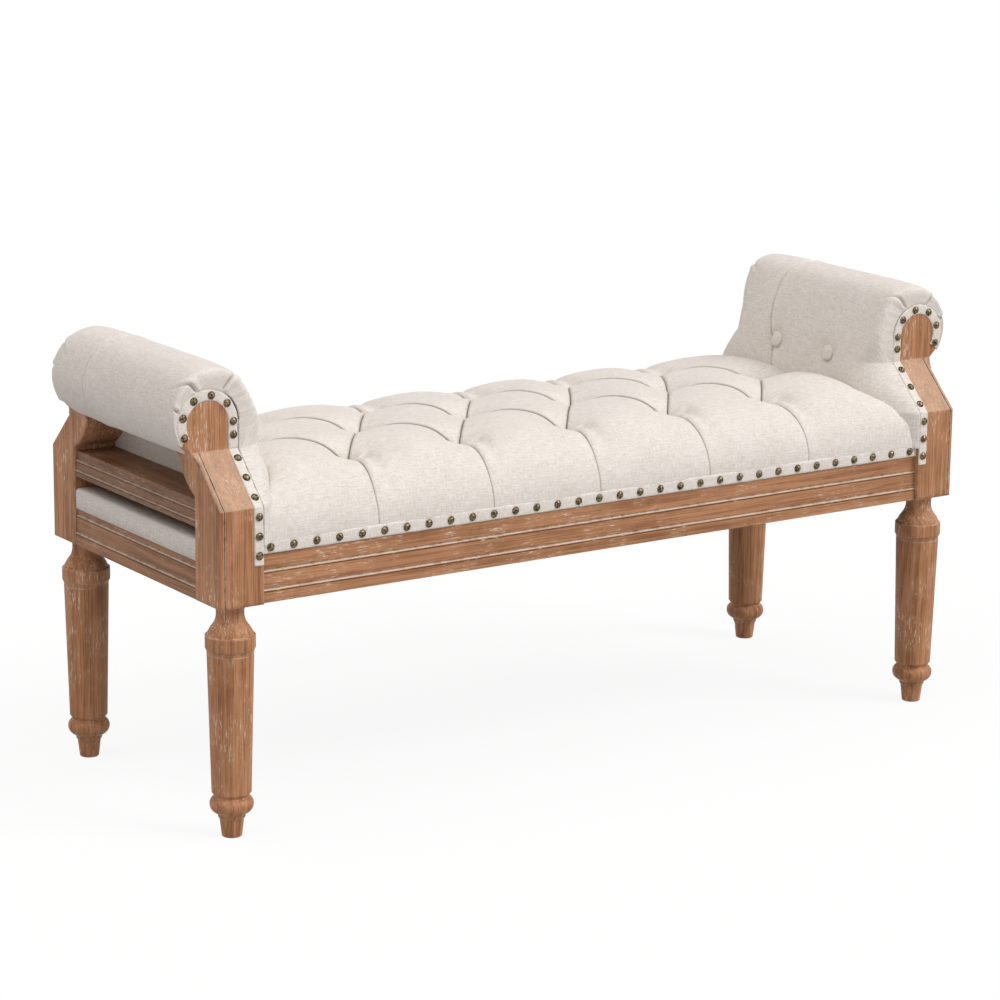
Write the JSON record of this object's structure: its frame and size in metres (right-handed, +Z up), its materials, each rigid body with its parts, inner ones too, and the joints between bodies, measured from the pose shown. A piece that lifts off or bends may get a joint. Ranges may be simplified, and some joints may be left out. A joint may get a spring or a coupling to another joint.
{
  "type": "upholstered bench",
  "caption": "Long backless bench with a deep tufted seat, scrolled padded arms, nail-trimmed edges and a moulded wooden frame on turned legs.",
  "frame": {"origin": "on the floor, under the middle of the bench", "axes": "+X along the bench to the sitter's left as seen from the front, +Y from front to back, +Z up"},
  "size_m": [1.274, 0.4758, 0.615],
  "materials": {
    "limed_wood": "brushed and limed, matt",
    "inner_wood": "plain sawn",
    "plywood": "plain sanded",
    "linen": "slubby woven linen look",
    "foam": "cut foam",
    "bronze": "antiqued, worn bright on the crown",
    "steel": "zinc plated",
    "twine": "waxed twine",
    "black_cloth": "thin non-woven cloth"
  },
  "bodies": {
    "root": {"arm_back_cloth_left": "linen", "arm_back_cloth_right": "linen", "arm_board_left": "plywood", "arm_board_right": "plywood", "arm_board_screws": "steel", "arm_buttons_left": "linen", "arm_buttons_right": "linen", "arm_core_left": "inner_wood", "arm_core_right": "inner_wood", "arm_nails_back_left": "bronze", "arm_nails_back_right": "bronze", "arm_nails_front_left": "bronze", "arm_nails_front_right": "bronze", "arm_pad_left": "linen", "arm_pad_right": "linen", "arm_rail_left": "limed_wood", "arm_rail_right": "limed_wood", "arm_strip_back_left": "linen", "arm_strip_back_right": "linen", "arm_strip_front_left": "linen", "arm_strip_front_right": "linen", "corner_block_screws": "steel", "corner_blocks": "inner_wood", "dust_cloth": "black_cloth", "frame_dowels": "inner_wood", "hanger_bolts": "steel", "leg_back_left": "limed_wood", "leg_back_right": "limed_wood", "leg_front_left": "limed_wood", "leg_front_right": "limed_wood", "post_back_left": "limed_wood", "post_back_right": "limed_wood", "post_front_left": "limed_wood", "post_front_right": "limed_wood", "rail_back": "limed_wood", "rail_front": "limed_wood", "rail_left": "limed_wood", "rail_right": "limed_wood", "seat_band_back": "linen", "seat_band_front": "linen", "seat_board": "plywood", "seat_board_screws": "steel", "seat_braces": "inner_wood", "seat_cover": "linen", "seat_end_left": "linen", "seat_end_right": "linen", "seat_foam": "foam", "seat_nails_back": "bronze", "seat_nails_front": "bronze", "tuft_ties": "twine"}
  },
  "joints": []
}
